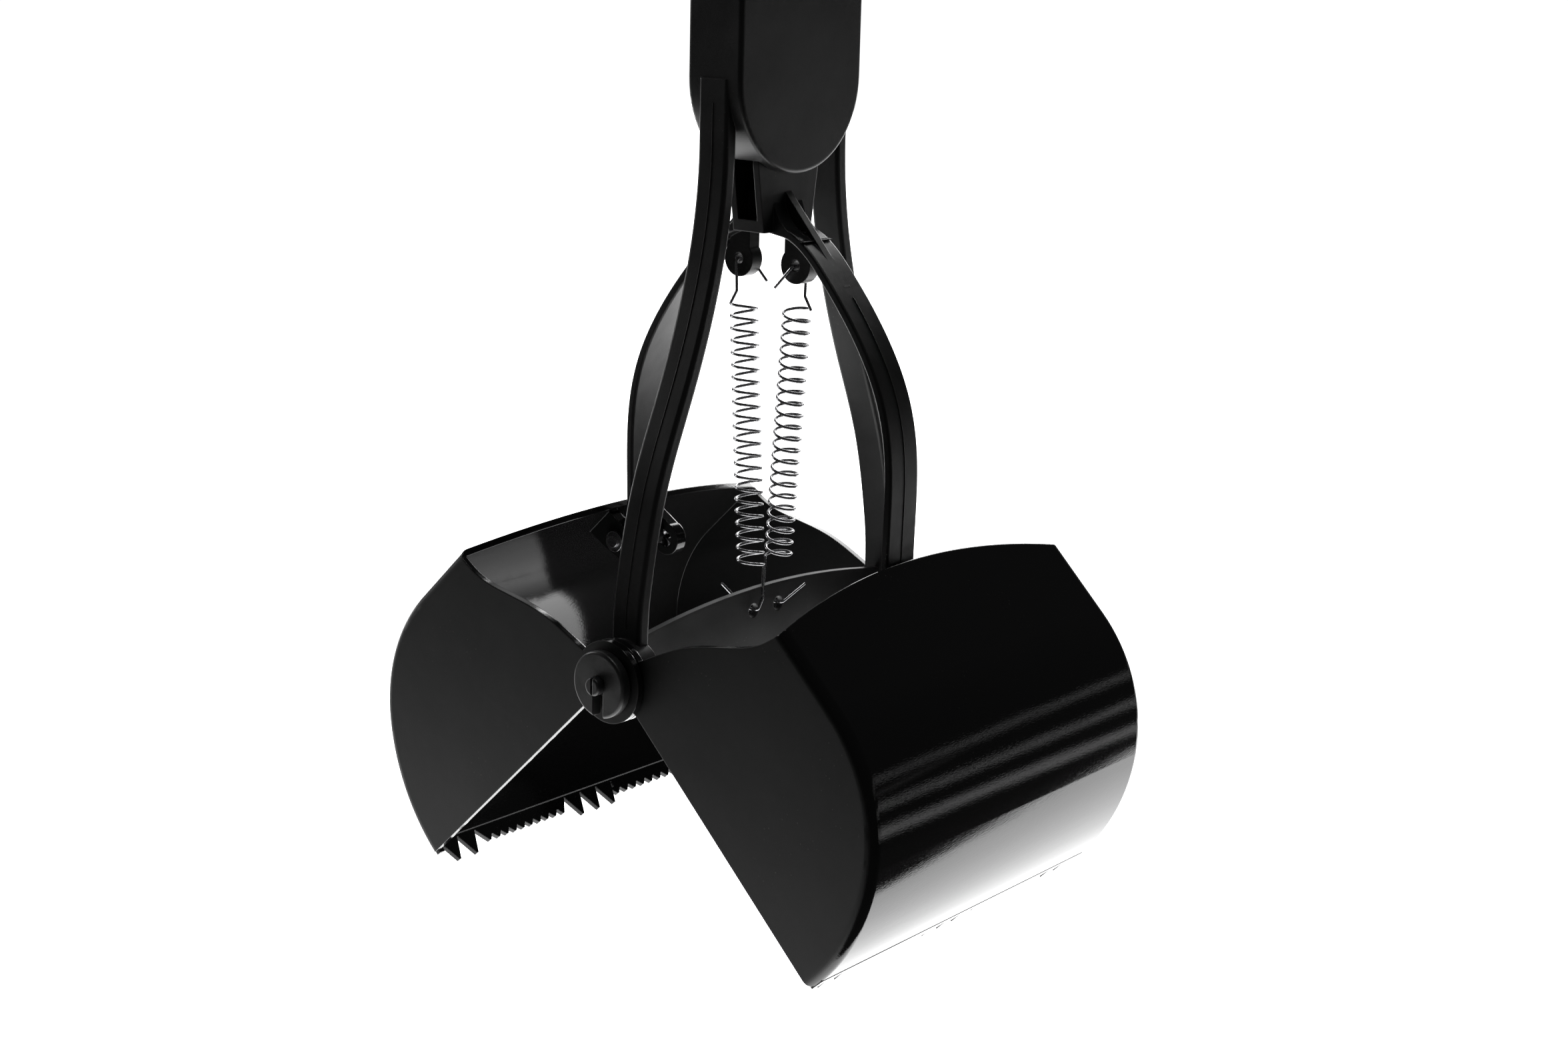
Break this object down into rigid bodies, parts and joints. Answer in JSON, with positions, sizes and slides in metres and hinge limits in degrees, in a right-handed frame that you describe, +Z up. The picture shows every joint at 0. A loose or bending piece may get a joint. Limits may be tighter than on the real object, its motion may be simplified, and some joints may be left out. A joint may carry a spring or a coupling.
{
  "type": "leaf grabber hands",
  "caption": "Long-handled yard scooper with two toothed spring-closed jaws on a yoke, opened by a squeeze trigger in a closed D-shaped grip.",
  "frame": {"origin": "centre of the hang hole through the palm bar at the top of the handle", "axes": "+Z up the handle away from the jaws, Y along the jaws' hinge axis with the front at -Y, X across the mouth"},
  "size_m": [0.2108, 0.1672, 0.6248],
  "materials": {
    "yoke_plastic": "satin moulded",
    "handle_plastic": "fine moulded texture",
    "jaw_plastic": "polished moulded back, satin sides",
    "axle_plastic": "satin",
    "retainer_plastic": "satin",
    "slider_plastic": "satin moulded",
    "trigger_plastic": "satin",
    "soft_rubber": "soft matt",
    "steel": "plain bright",
    "zinc_screw": "zinc plated",
    "spring_steel": "bright drawn wire"
  },
  "bodies": {
    "handle": {"yoke_frame": "yoke_plastic", "handle_shell_left": "handle_plastic", "handle_shell_right": "handle_plastic", "handle_screws": "zinc_screw", "neck_screws": "zinc_screw", "grip_sleeve": "soft_rubber", "axle_front": "axle_plastic", "axle_back": "axle_plastic", "retainer_front": "retainer_plastic", "retainer_back": "retainer_plastic", "spring_left": "spring_steel", "spring_right": "spring_steel"},
    "slider": {"slider": "slider_plastic", "pull_rod": "steel", "rod_pin_lower": "steel", "rod_pin_upper": "steel", "trigger": "trigger_plastic", "link_pin_left": "steel", "link_pin_right": "steel", "link_clip_left": "steel", "link_clip_right": "steel"},
    "jaw_left": {"jaw_left": "jaw_plastic"},
    "jaw_right": {"jaw_right": "jaw_plastic"}
  },
  "joints": [
    {"name": "slider_slide", "type": "slide", "parent": "handle", "child": "slider", "axis": [0, 0, 1], "range_m": [-0.04592, 0], "stiffness_N_per_m": 3000, "deforming": ["spring_left", "spring_right"]},
    {"name": "jaw_left_hinge", "type": "hinge", "parent": "handle", "child": "jaw_left", "pos_m": [0, 0, -0.525], "axis": [0, -1, 0], "range_deg": [0, 44]},
    {"name": "jaw_right_hinge", "type": "hinge", "parent": "handle", "child": "jaw_right", "pos_m": [0, 0, -0.525], "axis": [0, 1, 0], "range_deg": [0, 44]}
  ],
  "couplings": [
    {"joint": "jaw_left_hinge", "follows": "slider_slide", "rad_per_m": -16.721},
    {"joint": "jaw_right_hinge", "follows": "slider_slide", "rad_per_m": -16.721}
  ]
}
